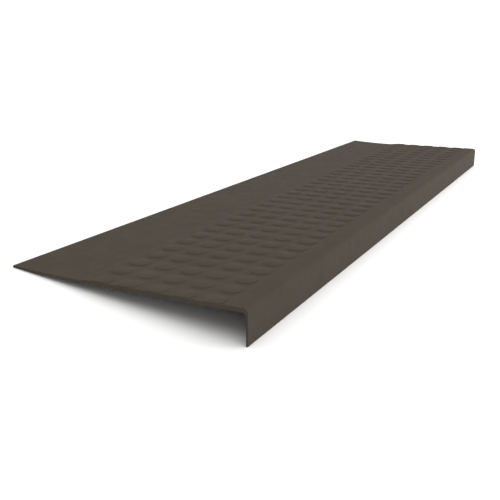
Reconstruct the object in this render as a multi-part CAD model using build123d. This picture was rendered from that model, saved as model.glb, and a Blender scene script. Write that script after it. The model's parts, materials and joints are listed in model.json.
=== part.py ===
from build123d import *
import math
import os

# Rubber stair tread, moulded as one piece, in millimetres.
# The section is drawn as the tread sits on a step: the nosing's top is at Z = 0, the front
# of the lip at Y = 0, and X runs along the nosing. The finished tread is then laid down as
# it rests unheld on a level floor, on the bottom of its lip and on its back edge.

# Overall sizes
length = 1219.2
depth = 306.0
nose_drop = 41.0

# Nosing and lip
nose_radius = 6.0
inner_radius = 4.5
lip_root = 2.8
lip_edge = 2.0

# Plate, its step down to the thin back band, and the band's free upward curl
front_thickness = 5.3
back_thickness = 2.9
ramp_width = 12.0
back_curl = 3.4
edge_round = 0.8

# Studs, and the sunken field that they stand in with their tops level with the nosing
stud_diameter = 25.4
stud_sides = 18
stud_height = 0.9
stud_draft = 0.3
stud_root = 1.0
stud_pitch = 35.3
stud_rows = 5
stud_columns = 35
first_row = 42.2
field_margin = 0.5
step_width = 2.0

# Places worked out from the sizes
last_row = first_row + (stud_rows - 1) * stud_pitch
field_front = first_row - stud_diameter / 2 - field_margin
ramp_start = last_row + stud_diameter / 2 + field_margin
ramp_end = ramp_start + ramp_width
underside = -front_thickness
back_underside = underside + back_curl
back_slope = 2 * math.atan2(back_curl, depth - ramp_end)


def tread_section():
    """Closed outline across the tread, with the depth to the right and Z up."""
    nose = (0, 0)
    band_back = (field_front, 0)
    field_foot = (field_front + step_width, -stud_height)
    ramp_top = (ramp_start, -stud_height)
    ramp_foot = (ramp_end, underside + back_thickness)
    ramp_underside = (ramp_end, underside)
    back_bottom = (depth, back_underside)
    back_top = (
        depth - back_thickness * math.sin(back_slope),
        back_underside + back_thickness * math.cos(back_slope),
    )
    inner_corner = (lip_root, underside)
    lip_inner = (lip_edge, -nose_drop)
    lip_front = (0, -nose_drop)

    outline = Polyline(lip_front, nose, band_back, field_foot, ramp_top, ramp_foot)
    outline += TangentArc(ramp_foot, back_top, tangent=(1, 0))
    outline += Line(back_top, back_bottom)
    outline += TangentArc(ramp_underside, back_bottom, tangent=(1, 0))
    outline += Polyline(ramp_underside, inner_corner, lip_inner, lip_front)
    section = make_face(outline)

    roundings = [
        (nose, nose_radius),
        (inner_corner, inner_radius),
        (lip_front, edge_round),
        (lip_inner, edge_round),
        (back_top, edge_round),
        (back_bottom, edge_round),
    ]
    for point, radius in roundings:
        corner = section.vertices().sort_by_distance(point)[0]
        section = fillet(corner, radius)
    return section


def stud():
    """One low round stud, its round drawn as flats, with a short root inside the plate."""
    draft_angle = math.degrees(math.atan2(stud_draft, stud_height))
    foot = Pos(Z=-stud_height) * RegularPolygon(stud_diameter / 2, stud_sides)
    head = extrude(foot, amount=stud_height, taper=draft_angle)
    root = extrude(foot, amount=-stud_root)
    return head + root


def tread_on_step():
    """The whole tread as it sits on a step, its pattern cut through at both ends."""
    plate = extrude(Plane.YZ * tread_section(), amount=length / 2, both=True)
    middle_row = Pos(Y=(first_row + last_row) / 2)
    places = middle_row * GridLocations(stud_pitch, stud_pitch, stud_columns, stud_rows)
    one_stud = stud()
    studded = plate + [place * one_stud for place in places]
    return studded & Box(length, 3 * depth, 3 * nose_drop)


def laid_down(tread):
    """The tread tipped back onto its back edge, with its origin under its middle."""
    rise = back_underside + nose_drop
    tilt = math.degrees(math.atan2(rise, depth - lip_edge))
    tipped = Rot(X=-tilt) * tread
    box = tipped.bounding_box()
    return Pos(-box.center().X, -box.center().Y, -box.min.Z) * tipped


os.makedirs("parts", exist_ok=True)
export_step(laid_down(tread_on_step()), "parts/stair_tread.step")
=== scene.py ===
import json
import math

import bmesh
import bpy
from mathutils import Matrix, Vector

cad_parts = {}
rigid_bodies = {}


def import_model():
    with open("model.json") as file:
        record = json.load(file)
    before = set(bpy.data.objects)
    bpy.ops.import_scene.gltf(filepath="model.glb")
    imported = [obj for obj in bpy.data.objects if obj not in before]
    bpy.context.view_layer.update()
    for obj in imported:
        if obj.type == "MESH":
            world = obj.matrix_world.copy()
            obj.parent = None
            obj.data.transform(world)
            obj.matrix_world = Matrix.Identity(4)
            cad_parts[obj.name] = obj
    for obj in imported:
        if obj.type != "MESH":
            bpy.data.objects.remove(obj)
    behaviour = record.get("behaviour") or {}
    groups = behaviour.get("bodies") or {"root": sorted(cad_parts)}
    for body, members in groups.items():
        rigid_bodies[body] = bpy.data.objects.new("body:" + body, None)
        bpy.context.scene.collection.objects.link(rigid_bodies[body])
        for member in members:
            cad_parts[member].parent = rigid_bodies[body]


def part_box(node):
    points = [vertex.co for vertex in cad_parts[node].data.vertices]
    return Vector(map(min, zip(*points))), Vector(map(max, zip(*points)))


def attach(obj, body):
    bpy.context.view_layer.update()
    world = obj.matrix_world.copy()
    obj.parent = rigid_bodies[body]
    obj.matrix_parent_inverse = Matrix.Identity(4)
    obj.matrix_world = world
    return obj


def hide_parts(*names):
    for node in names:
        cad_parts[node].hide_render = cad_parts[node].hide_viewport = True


bl_info = {
    "name": "Stair Tread Maker",
    "version": (1, 0, 0),
    "blender": (4, 5, 0),
    "location": "View3D > Sidebar > Stair Tread",
    "description": "Builds a moulded rubber stair tread with a studded field, and its studio",
    "category": "Add Mesh",
}

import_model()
NODE = "stair_tread"
BODY = "root"
CAD_LOW, CAD_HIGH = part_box(NODE)
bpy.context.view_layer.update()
MM = 0.001

# Points of the mesh closer than this are one point
WELD = 0.01 * MM

# Spacing of the nodes in the node editor
NODE_COLUMN = 220
NODE_ROW = 180


def length_property(name, description, millimetres):
    """A length in metres for the panel, with its default given in millimetres."""
    return bpy.props.FloatProperty(
        name=name,
        description=description,
        default=millimetres * MM,
        min=0.0,
        precision=5,
        subtype="DISTANCE",
        unit="LENGTH",
    )


def share_property(name, description, share):
    """A share between nothing and all."""
    return bpy.props.FloatProperty(
        name=name, description=description, default=share, min=0.0, max=1.0, subtype="FACTOR"
    )


def colour_property(name, description, colour):
    """A colour in linear light."""
    return bpy.props.FloatVectorProperty(
        name=name, description=description, default=colour, size=3, min=0.0, max=1.0,
        subtype="COLOR",
    )


def place_property(name, description, place):
    """A place in metres."""
    return bpy.props.FloatVectorProperty(
        name=name, description=description, default=place, size=3, precision=5,
        subtype="TRANSLATION", unit="LENGTH",
    )


def direction_property(name, description, direction):
    """A direction, which needs no set length."""
    return bpy.props.FloatVectorProperty(
        name=name, description=description, default=direction, size=3, subtype="DIRECTION"
    )


def angle_property(name, description, degrees):
    """An angle, with its default given in degrees."""
    return bpy.props.FloatProperty(
        name=name, description=description, default=math.radians(degrees), subtype="ANGLE",
        unit="ROTATION",
    )


class SectionSizes(bpy.types.PropertyGroup):
    """Sizes of the tread's section, as it sits on a step."""

    depth: length_property("Depth", "Front of the lip to the back edge", 306.0)
    nose_drop: length_property("Nose drop", "Top of the nosing to the bottom of the lip", 41.0)
    nose_radius: length_property("Nose radius", "Outer rounding of the nosing", 6.0)
    inner_radius: length_property("Inner radius", "Rounding inside the corner of the lip", 4.5)
    lip_root: length_property("Lip root", "Thickness of the lip under the plate", 2.8)
    lip_edge: length_property("Lip edge", "Thickness of the lip at its bottom", 2.0)
    front_thickness: length_property("Front thickness", "Plate at the nosing and studs", 5.3)
    step_width: length_property("Step width", "Slope from the front band to the field", 1.8)
    ramp_gap: length_property("Ramp gap", "Flat between the last row's squares and the ramp", 4.1)
    ramp_width: length_property("Ramp width", "Slope down to the thin back band", 8.0)
    back_thickness: length_property("Back thickness", "Thin band along the back", 2.9)
    back_curl: length_property("Back curl", "How far the back edge curls up", 3.4)
    edge_round: length_property("Edge rounding", "Rounding of the lip and back edges", 0.8)
    soft_round: length_property("Soft rounding", "Rounding where slopes meet flats", 1.4)


class StudSizes(bpy.types.PropertyGroup):
    """Sizes of the round studs and of the square grid that they stand on."""

    diameter: length_property("Diameter", "Round stud at its foot", 25.4)
    height: length_property("Height", "Stud top above the field", 0.9)
    draft: length_property("Draft", "How far the side leans in over its height", 0.6)
    edge_round: length_property("Edge rounding", "Rounding of the stud's top edge", 0.3)
    foot_round: length_property("Foot rounding", "Rounding where the stud meets the field", 0.3)
    pitch: length_property("Pitch", "Middle of one stud to the next, both ways", 35.3)
    first_row: length_property("First row", "Front of the lip to the middle of row one", 42.2)
    margin: length_property("Margin", "Field in front of the first row and behind the last", 0.4)
    rows: bpy.props.IntProperty(name="Rows", description="Rows of studs", default=5, min=2)
    columns: bpy.props.IntProperty(
        name="Columns", description="Studs along each row", default=35, min=1
    )
    corner_parts: bpy.props.IntProperty(
        name="Corner parts",
        description="Straight parts from the middle of a stud's square to its corner",
        default=4,
        min=1,
    )


class RubberLook(bpy.types.PropertyGroup):
    """Colours and grain of the matte brown rubber."""

    dark: colour_property("Dark", "Darker tone of the rubber", (0.0505, 0.0412, 0.0315))
    light: colour_property("Light", "Lighter tone of the rubber", (0.0555, 0.0452, 0.0350))
    mottle: length_property("Mottle", "Width of the faint cloudy tone", 60.0)
    speckle: length_property("Speckle", "Width of the fine speckle in the tone", 2.0)
    cloud_share: share_property("Cloud share", "Part of the tone that is cloudy", 0.6)
    patch: length_property("Patch", "Width of the smoother and rougher patches", 15.0)
    smoothest: share_property("Smoothest", "Roughness where the skin is smoothest", 0.72)
    roughest: share_property("Roughest", "Roughness where the skin is roughest", 0.84)
    sheen: share_property("Sheen", "Strength of the dull surface reflection", 0.04)
    grain: length_property("Grain", "Width of the fine mould grain", 0.8)
    grain_height: length_property("Grain height", "Height of the fine mould grain", 0.02)
    grain_strength: share_property("Grain strength", "How much the grain shows", 0.5)


class StudioLook(bpy.types.PropertyGroup):
    """Floor, lights and camera. The camera's place and aim are given on the step."""

    floor_colour: colour_property("Floor", "Colour of the plain floor", (0.90, 0.90, 0.895))
    floor_roughness: share_property("Floor roughness", "How matte the floor is", 0.9)
    floor_size: bpy.props.FloatProperty(
        name="Floor size", description="Width of the floor", default=60.0, min=1.0,
        subtype="DISTANCE", unit="LENGTH",
    )
    wall_strength: bpy.props.FloatProperty(
        name="Walls", description="Brightness of the white surroundings low down",
        default=1.1, min=0.0,
    )
    ceiling_strength: bpy.props.FloatProperty(
        name="Ceiling", description="Brightness of the white surroundings overhead",
        default=0.62, min=0.0,
    )
    wall_top: share_property("Wall top", "Height in the sky where the walls start to dim", 0.12)
    ceiling_edge: share_property("Ceiling edge", "Height in the sky of the full ceiling", 0.6)
    key_strength: bpy.props.FloatProperty(
        name="Key light", description="Strength of the broad light from above and behind",
        default=2.0, min=0.0,
    )
    key_width: angle_property("Key width", "Width of the broad light, seen from the tread", 120)
    key_from: direction_property(
        "Key from", "Direction that the broad light comes from", (0.2, 0.15, 0.97)
    )
    front_power: bpy.props.FloatProperty(
        name="Front light", description="Power of the low soft box that lights the lip",
        default=68.0, min=0.0, unit="POWER",
    )
    front_size: bpy.props.FloatProperty(
        name="Front size", description="Width of the low soft box", default=1.6, min=0.0,
        subtype="DISTANCE", unit="LENGTH",
    )
    front_place: place_property(
        "Front place", "Where the low soft box stands", (1.4, -2.4, 0.35)
    )
    eye: place_property(
        "Eye", "Camera from the near end of the lip's top", (-0.59599, -0.30074, 0.25463)
    )
    aim: direction_property(
        "Aim", "Direction that the camera looks along", (0.85826, 0.43034, -0.27963)
    )
    roll: angle_property("Roll", "Turn of the camera about its aim, against the step", 0.21)
    lens: bpy.props.FloatProperty(
        name="Lens", description="Focal length in millimetres", default=52.32, min=1.0,
        subtype="DISTANCE_CAMERA", unit="CAMERA",
    )
    sensor: bpy.props.FloatProperty(
        name="Sensor", description="Width of the sensor in millimetres", default=36.0, min=1.0,
        subtype="DISTANCE_CAMERA", unit="CAMERA",
    )


def field_edges(studs):
    """Front and back of the squares of field that the studs stand in."""
    reach = studs.diameter / 2 + studs.margin
    last_row = studs.first_row + (studs.rows - 1) * studs.pitch
    return studs.first_row - reach, last_row + reach


def ramp_edges(section, studs):
    """Where the slope down to the thin back band starts and ends."""
    start = field_edges(studs)[1] + section.ramp_gap
    return start, start + section.ramp_width


def rounded_path(corners, parts=5):
    """Points along a path of (y, z, radius) corners, each rounded by its own radius."""
    points = []
    last = len(corners) - 1
    for index, (y, z, radius) in enumerate(corners):
        here = Vector((y, z))
        if radius == 0 or index in (0, last):
            points.append(here)
            continue
        back = (Vector(corners[index - 1][:2]) - here).normalized()
        ahead = (Vector(corners[index + 1][:2]) - here).normalized()
        half = back.angle(ahead) / 2
        middle = here + (back + ahead).normalized() * radius / math.sin(half)
        start = here + back * radius / math.tan(half) - middle
        end = here + ahead * radius / math.tan(half) - middle
        sweep = start.angle_signed(end)
        for part in range(parts + 1):
            turn = Matrix.Rotation(-sweep * part / parts, 2)
            points.append(middle + turn @ start)
    return points


def curled(point, section, ramp_end):
    """A point of the section after the thin band has curled up along a gentle arc."""
    y, z = point
    if y <= ramp_end:
        return y, z
    run = section.depth - ramp_end
    radius = (run * run + section.back_curl**2) / (2 * section.back_curl)
    angle = math.asin(min(1.0, (y - ramp_end) / radius))
    underside = -section.front_thickness
    reach = radius - (z - underside)
    return ramp_end + reach * math.sin(angle), underside + radius - reach * math.cos(angle)


def open_outline(section, studs, band_parts=10):
    """Section on the step, from the back of the stud field round under it to its front."""
    field_front, field_back = field_edges(studs)
    ramp_start, ramp_end = ramp_edges(section, studs)
    field = -studs.height
    underside = -section.front_thickness
    band_top = underside + section.back_thickness
    run = section.depth - ramp_end
    band_middles = [ramp_end + run * part / band_parts for part in range(1, band_parts)]
    soft = section.soft_round
    edge = section.edge_round
    corners = [
        (field_back, field, 0),
        (ramp_start, field, soft),
        (ramp_end, band_top, soft),
        *[(y, band_top, 0) for y in band_middles],
        (section.depth, band_top, edge),
        (section.depth, underside, edge),
        *[(y, underside, 0) for y in reversed(band_middles)],
        (ramp_end, underside, 0),
        (section.lip_root, underside, section.inner_radius),
        (section.lip_edge, -section.nose_drop, edge),
        (0, -section.nose_drop, edge),
        (0, 0, section.nose_radius),
        (field_front - section.step_width, 0, soft),
        (field_front, field, 0),
    ]
    return [curled(point, section, ramp_end) for point in rounded_path(corners)]


def laid_place(section, studs):
    """Move from the tread on its step to the tread lying on the floor on lip and back edge."""
    rise = section.nose_drop - section.front_thickness + section.back_curl
    tilt = math.atan2(rise, section.depth - section.lip_edge)
    turn = Matrix.Rotation(-tilt, 4, "X")
    outline = [turn @ Vector((0, y, z)) for y, z in open_outline(section, studs)]
    middle_y = (min(p.y for p in outline) + max(p.y for p in outline)) / 2
    low_z = min(p.z for p in outline)
    return Matrix.Translation((0, -middle_y, -low_z)) @ turn


def swept_shell(section, studs):
    """Shell of the section along X, left open where the stud field goes."""
    outline = open_outline(section, studs)
    parts = studs.columns * 2 * studs.corner_parts
    reach = studs.columns * studs.pitch / 2
    rows = []
    mesh = bmesh.new()
    for part in range(parts + 1):
        x = -reach + 2 * reach * part / parts
        rows.append([mesh.verts.new((x, y, z)) for y, z in outline])
    for row, after in zip(rows, rows[1:]):
        for k in range(len(outline) - 1):
            mesh.faces.new((row[k], row[k + 1], after[k + 1], after[k]))
    return mesh


def stud_profile(studs):
    """Radius and height of each ring of a stud, from its flat top to the field."""
    shoulder_across = 0.6 * studs.edge_round
    shoulder_down = 0.2 * studs.edge_round
    foot = studs.diameter / 2
    top = foot - studs.draft - studs.edge_round
    lean = studs.draft / studs.height
    return [
        (top, 0),
        (top + shoulder_across, -shoulder_down),
        (top + studs.edge_round, -studs.edge_round),
        (foot - lean * studs.foot_round, -studs.height + studs.foot_round),
        (foot + studs.foot_round, -studs.height),
    ]


def stud_square(name, studs, front_reach, back_reach):
    """One stud in its own square of field, as a source for the repeat."""
    side_parts = 2 * studs.corner_parts
    around = 4 * side_parts
    mesh = bmesh.new()
    rings = []
    for radius, z in stud_profile(studs):
        angles = [math.tau * k / around for k in range(around)]
        ring = [(radius * math.cos(angle), radius * math.sin(angle), z) for angle in angles]
        rings.append([mesh.verts.new(point) for point in ring])
    border = []
    for k in range(around):
        side, along = divmod(k + studs.corner_parts, side_parts)
        slide = along / studs.corner_parts - 1
        across, up = [(1, slide), (-slide, 1), (-1, -slide), (slide, -1)][side % 4]
        y = up * (back_reach if up > 0 else front_reach)
        border.append(mesh.verts.new((across * studs.pitch / 2, y, -studs.height)))
    rings.append(border)
    mesh.faces.new(rings[0])
    for inner, outer in zip(rings, rings[1:]):
        for k in range(around):
            after = (k + 1) % around
            mesh.faces.new((inner[k], outer[k], outer[after], inner[after]))
    data = bpy.data.meshes.new(name)
    mesh.to_mesh(data)
    mesh.free()
    source = bpy.data.objects.new(name, data)
    bpy.context.scene.collection.objects.link(source)
    return source


def node_at(tree, kind, column, row, **values):
    """A node of a kind, set out on a grid, with its own settings."""
    node = tree.nodes.new(kind)
    node.location = (column * NODE_COLUMN, -row * NODE_ROW)
    for key, value in values.items():
        setattr(node, key, value)
    return node


def stud_row_tree(sources):
    """Geometry nodes that repeat each row's stud square along X and join the rows."""
    tree = bpy.data.node_groups.new("stud_rows", "GeometryNodeTree")
    face = tree.interface
    face.new_socket("Geometry", in_out="INPUT", socket_type="NodeSocketGeometry")
    face.new_socket("Pitch", in_out="INPUT", socket_type="NodeSocketFloat")
    face.new_socket("First Row", in_out="INPUT", socket_type="NodeSocketFloat")
    face.new_socket("Columns", in_out="INPUT", socket_type="NodeSocketInt")
    face.new_socket("Rubber", in_out="INPUT", socket_type="NodeSocketMaterial")
    face.new_socket("Geometry", in_out="OUTPUT", socket_type="NodeSocketGeometry")
    given = node_at(tree, "NodeGroupInput", 0, 0)
    joined = node_at(tree, "GeometryNodeJoinGeometry", 6, 0)
    link = tree.links.new

    # The first column stands half of (1 - columns) pitches from the middle
    spans = node_at(tree, "ShaderNodeMath", 1, 1, operation="SUBTRACT")
    spans.inputs[0].default_value = 1
    link(given.outputs["Columns"], spans.inputs[1])
    half = node_at(tree, "ShaderNodeMath", 2, 1, operation="DIVIDE")
    half.inputs[1].default_value = 2
    link(spans.outputs[0], half.inputs[0])
    start_x = node_at(tree, "ShaderNodeMath", 3, 1, operation="MULTIPLY")
    link(half.outputs[0], start_x.inputs[0])
    link(given.outputs["Pitch"], start_x.inputs[1])
    step = node_at(tree, "ShaderNodeCombineXYZ", 3, 2)
    link(given.outputs["Pitch"], step.inputs["X"])

    for row, source in enumerate(sources):
        row_y = node_at(tree, "ShaderNodeMath", 3, row + 3, operation="MULTIPLY_ADD")
        row_y.inputs[0].default_value = row
        link(given.outputs["Pitch"], row_y.inputs[1])
        link(given.outputs["First Row"], row_y.inputs[2])
        start = node_at(tree, "ShaderNodeCombineXYZ", 4, row + 3)
        link(start_x.outputs[0], start.inputs["X"])
        link(row_y.outputs[0], start.inputs["Y"])
        line = node_at(tree, "GeometryNodeMeshLine", 5, row + 3, mode="OFFSET")
        link(given.outputs["Columns"], line.inputs["Count"])
        link(start.outputs[0], line.inputs["Start Location"])
        link(step.outputs[0], line.inputs["Offset"])
        square = node_at(tree, "GeometryNodeObjectInfo", 4, row + 3 + len(sources))
        square.inputs["Object"].default_value = source
        repeat = node_at(tree, "GeometryNodeInstanceOnPoints", 6, row + 3)
        link(line.outputs["Mesh"], repeat.inputs["Points"])
        link(square.outputs["Geometry"], repeat.inputs["Instance"])
        link(repeat.outputs["Instances"], joined.inputs["Geometry"])

    real = node_at(tree, "GeometryNodeRealizeInstances", 7, 0)
    dress = node_at(tree, "GeometryNodeSetMaterial", 8, 0)
    result = node_at(tree, "NodeGroupOutput", 9, 0)
    link(joined.outputs["Geometry"], real.inputs["Geometry"])
    link(real.outputs["Geometry"], dress.inputs["Geometry"])
    link(given.outputs["Rubber"], dress.inputs["Material"])
    link(dress.outputs["Geometry"], result.inputs["Geometry"])
    return tree


def set_inputs(modifier, values):
    """Sets a node modifier's named inputs by their socket identifiers."""
    for item in modifier.node_group.interface.items_tree:
        if item.in_out == "INPUT" and item.name in values:
            modifier[item.identifier] = values[item.name]


def stud_field(studs, material):
    """The whole field of studs as one plain mesh, made by the repeat."""
    outer = studs.diameter / 2 + studs.margin
    half = studs.pitch / 2
    sources = []
    for row in range(studs.rows):
        front = outer if row == 0 else half
        back = outer if row == studs.rows - 1 else half
        sources.append(stud_square(f"stud_square_{row}", studs, front, back))
    holder = bpy.data.objects.new("stud_rows", bpy.data.meshes.new("stud_rows"))
    bpy.context.scene.collection.objects.link(holder)
    modifier = holder.modifiers.new("stud_rows", "NODES")
    modifier.node_group = stud_row_tree(sources)
    values = {
        "Pitch": studs.pitch,
        "First Row": studs.first_row,
        "Columns": studs.columns,
        "Rubber": material,
    }
    set_inputs(modifier, values)
    graph = bpy.context.evaluated_depsgraph_get()
    made = bpy.data.meshes.new_from_object(holder.evaluated_get(graph), depsgraph=graph)
    tree = modifier.node_group
    holder.modifiers.remove(modifier)
    for unused in (holder, *sources):
        bpy.data.objects.remove(unused)
    bpy.data.node_groups.remove(tree)
    return made


def cut_flush(mesh, x, outward):
    """Cuts the mesh square across at x and closes the cut."""
    everything = mesh.verts[:] + mesh.edges[:] + mesh.faces[:]
    cut = bmesh.ops.bisect_plane(
        mesh, geom=everything, plane_co=(x, 0, 0), plane_no=(outward, 0, 0), clear_outer=True
    )
    rim = [item for item in cut["geom_cut"] if isinstance(item, bmesh.types.BMEdge)]
    bmesh.ops.triangle_fill(mesh, edges=rim, use_beauty=True, normal=(outward, 0, 0))


def check_closed(mesh):
    """Raises an error unless every edge has a face on both its sides."""
    open_edges = [edge for edge in mesh.edges if len(edge.link_faces) != 2]
    if open_edges:
        raise RuntimeError(f"the moulding has {len(open_edges)} open edges")


def shade_smooth(mesh, crease):
    """Smooth faces everywhere, with creases where the surface turns by more than an angle."""
    for face in mesh.faces:
        face.smooth = True
    for edge in mesh.edges:
        edge.smooth = edge.calc_face_angle() < crease


def noise(tree, width, detail, row):
    """Noise of about a given width, fixed to the object."""
    coordinates = node_at(tree, "ShaderNodeTexCoord", -6, row)
    place = node_at(tree, "ShaderNodeMapping", -5, row)
    place.inputs["Scale"].default_value = (1 / width, 1 / width, 1 / width)
    pattern = node_at(tree, "ShaderNodeTexNoise", -4, row)
    pattern.inputs["Scale"].default_value = 1.0
    pattern.inputs["Detail"].default_value = detail
    pattern.inputs["Roughness"].default_value = 0.55
    tree.links.new(coordinates.outputs["Object"], place.inputs["Vector"])
    tree.links.new(place.outputs["Vector"], pattern.inputs["Vector"])
    return pattern.outputs["Fac"]


def ranged(tree, source, low, high, row):
    """Spreads the middle of a noise, where most of it lies, over a range of values."""
    spread = 0.15
    node = node_at(tree, "ShaderNodeMapRange", -3, row)
    node.inputs["From Min"].default_value = 0.5 - spread
    node.inputs["From Max"].default_value = 0.5 + spread
    node.inputs["To Min"].default_value = low
    node.inputs["To Max"].default_value = high
    tree.links.new(source, node.inputs["Value"])
    return node.outputs["Result"]


def rubber_material(look):
    """Matte brown moulded rubber with a fine grain and a faint cloudy tone."""
    material = bpy.data.materials.new("moulded_rubber")
    material.use_nodes = True
    tree = material.node_tree
    surface = tree.nodes["Principled BSDF"]
    surface.inputs["Specular IOR Level"].default_value = look.sheen
    link = tree.links.new

    clouds = ranged(tree, noise(tree, look.mottle, 4.0, 0), 0.0, look.cloud_share, 0)
    speckle = ranged(tree, noise(tree, look.speckle, 2.0, 1), 0.0, 1 - look.cloud_share, 1)
    both = node_at(tree, "ShaderNodeMath", -2, 0, operation="ADD")
    link(clouds, both.inputs[0])
    link(speckle, both.inputs[1])
    tone = node_at(tree, "ShaderNodeMix", -1, 0, data_type="RGBA")
    tone.inputs["A"].default_value = (*look.dark, 1)
    tone.inputs["B"].default_value = (*look.light, 1)
    link(both.outputs[0], tone.inputs["Factor"])
    link(tone.outputs["Result"], surface.inputs["Base Color"])

    patches = noise(tree, look.patch, 3.0, 2)
    link(ranged(tree, patches, look.smoothest, look.roughest, 2), surface.inputs["Roughness"])

    bump = node_at(tree, "ShaderNodeBump", -1, 3)
    bump.inputs["Strength"].default_value = look.grain_strength
    bump.inputs["Distance"].default_value = look.grain_height
    link(noise(tree, look.grain, 3.0, 3), bump.inputs["Height"])
    link(bump.outputs["Normal"], surface.inputs["Normal"])
    return material


class TREAD_OT_moulding(bpy.types.Operator):
    """Builds the one-piece rubber moulding with its nosing, lip, studs and thin back band"""

    bl_idname = "tread.moulding"
    bl_label = "Build Moulding"

    def execute(self, context):
        scene = context.scene
        section = scene.tread_section
        studs = scene.tread_studs
        material = rubber_material(scene.tread_rubber)
        length = CAD_HIGH.x - CAD_LOW.x
        crease = math.radians(32)
        field = stud_field(studs, material)
        mesh = swept_shell(section, studs)
        mesh.from_mesh(field)
        bpy.data.meshes.remove(field)
        bmesh.ops.remove_doubles(mesh, verts=mesh.verts, dist=WELD)
        for outward in (1, -1):
            cut_flush(mesh, outward * length / 2, outward)
        check_closed(mesh)
        bmesh.ops.recalc_face_normals(mesh, faces=mesh.faces)
        shade_smooth(mesh, crease)
        mesh.transform(laid_place(section, studs))
        data = bpy.data.meshes.new("rubber_moulding")
        mesh.to_mesh(data)
        mesh.free()
        data.materials.append(material)
        moulding = bpy.data.objects.new("rubber_moulding", data)
        scene.collection.objects.link(moulding)
        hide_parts(NODE)
        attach(moulding, BODY)
        return {"FINISHED"}


def lay_floor(studio):
    """A plain pale floor under the tread."""
    material = bpy.data.materials.new("studio_floor")
    material.use_nodes = True
    surface = material.node_tree.nodes["Principled BSDF"]
    surface.inputs["Base Color"].default_value = (*studio.floor_colour, 1)
    surface.inputs["Roughness"].default_value = studio.floor_roughness
    mesh = bmesh.new()
    bmesh.ops.create_grid(mesh, x_segments=1, y_segments=1, size=studio.floor_size / 2)
    data = bpy.data.meshes.new("studio_floor")
    mesh.to_mesh(data)
    mesh.free()
    data.materials.append(material)
    floor = bpy.data.objects.new("studio_floor", data)
    bpy.context.scene.collection.objects.link(floor)


def set_surroundings(studio):
    """White surroundings, bright low down like studio walls and dimmer overhead."""
    world = bpy.data.worlds.new("studio_surroundings")
    world.use_nodes = True
    tree = world.node_tree
    sky = tree.nodes["Background"]
    sky.inputs["Color"].default_value = (1, 1, 1, 1)
    direction = node_at(tree, "ShaderNodeTexCoord", -4, 0)
    height = node_at(tree, "ShaderNodeSeparateXYZ", -3, 0)
    dimming = node_at(tree, "ShaderNodeMapRange", -2, 0, interpolation_type="SMOOTHSTEP")
    dimming.inputs["From Min"].default_value = studio.wall_top
    dimming.inputs["From Max"].default_value = studio.ceiling_edge
    dimming.inputs["To Min"].default_value = studio.wall_strength
    dimming.inputs["To Max"].default_value = studio.ceiling_strength
    tree.links.new(direction.outputs["Generated"], height.inputs["Vector"])
    tree.links.new(height.outputs["Z"], dimming.inputs["Value"])
    tree.links.new(dimming.outputs["Result"], sky.inputs["Strength"])
    bpy.context.scene.world = world
    bpy.context.scene.view_settings.view_transform = "Standard"


def set_lights(studio):
    """A broad soft light from above and behind, and a low soft box that lights the lip."""
    objects = bpy.context.scene.collection.objects
    data = bpy.data.lights.new("key_light", "SUN")
    data.energy = studio.key_strength
    data.angle = studio.key_width
    key = bpy.data.objects.new("key_light", data)
    key.rotation_euler = Vector(studio.key_from).to_track_quat("Z", "Y").to_euler()
    objects.link(key)

    data = bpy.data.lights.new("front_box", "AREA")
    data.shape = "SQUARE"
    data.size = studio.front_size
    data.energy = studio.front_power
    box = bpy.data.objects.new("front_box", data)
    box.location = studio.front_place
    box.rotation_euler = Vector(studio.front_place).to_track_quat("Z", "Y").to_euler()
    objects.link(box)


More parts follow.
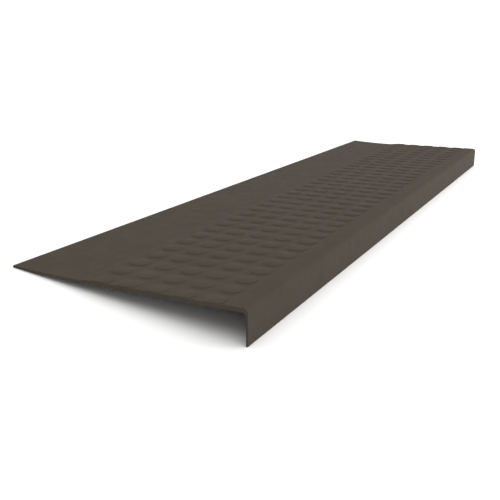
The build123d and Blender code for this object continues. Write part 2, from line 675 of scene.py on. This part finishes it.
def set_camera(section, studs, studio):
    """The camera of the photograph, from its place and aim on the step."""
    forward = Vector(studio.aim).normalized()
    level = forward.cross(Vector((0, 0, 1))).normalized()
    right = Matrix.Rotation(-studio.roll, 3, forward) @ level
    up = right.cross(forward)
    turn = Matrix((right, up, -forward)).transposed().to_4x4()
    near_end = Vector((CAD_LOW.x, 0, 0))
    place = Matrix.Translation(near_end + Vector(studio.eye))
    data = bpy.data.cameras.new("camera")
    data.lens = studio.lens
    data.sensor_width = studio.sensor
    camera = bpy.data.objects.new("camera", data)
    camera.matrix_world = laid_place(section, studs) @ place @ turn
    bpy.context.scene.collection.objects.link(camera)
    bpy.context.scene.camera = camera


class TREAD_OT_studio(bpy.types.Operator):
    """Lays a plain pale floor and sets the soft lights and the camera"""

    bl_idname = "tread.studio"
    bl_label = "Set Studio"

    def execute(self, context):
        scene = context.scene
        lay_floor(scene.tread_studio)
        set_surroundings(scene.tread_studio)
        set_lights(scene.tread_studio)
        set_camera(scene.tread_section, scene.tread_studs, scene.tread_studio)
        return {"FINISHED"}


GROUPS = {
    "tread_section": SectionSizes,
    "tread_studs": StudSizes,
    "tread_rubber": RubberLook,
    "tread_studio": StudioLook,
}


class TREAD_PT_panel(bpy.types.Panel):
    """Sizes, looks and build buttons of the stair tread"""

    bl_idname = "TREAD_PT_panel"
    bl_label = "Stair Tread"
    bl_space_type = "VIEW_3D"
    bl_region_type = "UI"
    bl_category = "Stair Tread"

    def draw(self, context):
        for name, group in GROUPS.items():
            box = self.layout.box()
            box.label(text=name.removeprefix("tread_").capitalize())
            for setting in group.__annotations__:
                box.prop(getattr(context.scene, name), setting)
        self.layout.operator(TREAD_OT_moulding.bl_idname)
        self.layout.operator(TREAD_OT_studio.bl_idname)


BUTTONS = (TREAD_OT_moulding, TREAD_OT_studio, TREAD_PT_panel)


def register():
    for name, group in GROUPS.items():
        bpy.utils.register_class(group)
        setattr(bpy.types.Scene, name, bpy.props.PointerProperty(type=group))
    for button in BUTTONS:
        bpy.utils.register_class(button)


def unregister():
    for button in reversed(BUTTONS):
        bpy.utils.unregister_class(button)
    for name, group in reversed(GROUPS.items()):
        delattr(bpy.types.Scene, name)
        bpy.utils.unregister_class(group)


def main():
    """Registers the classes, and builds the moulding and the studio."""
    register()
    bpy.ops.tread.moulding()
    bpy.ops.tread.studio()


if __name__ == "__main__":
    main()
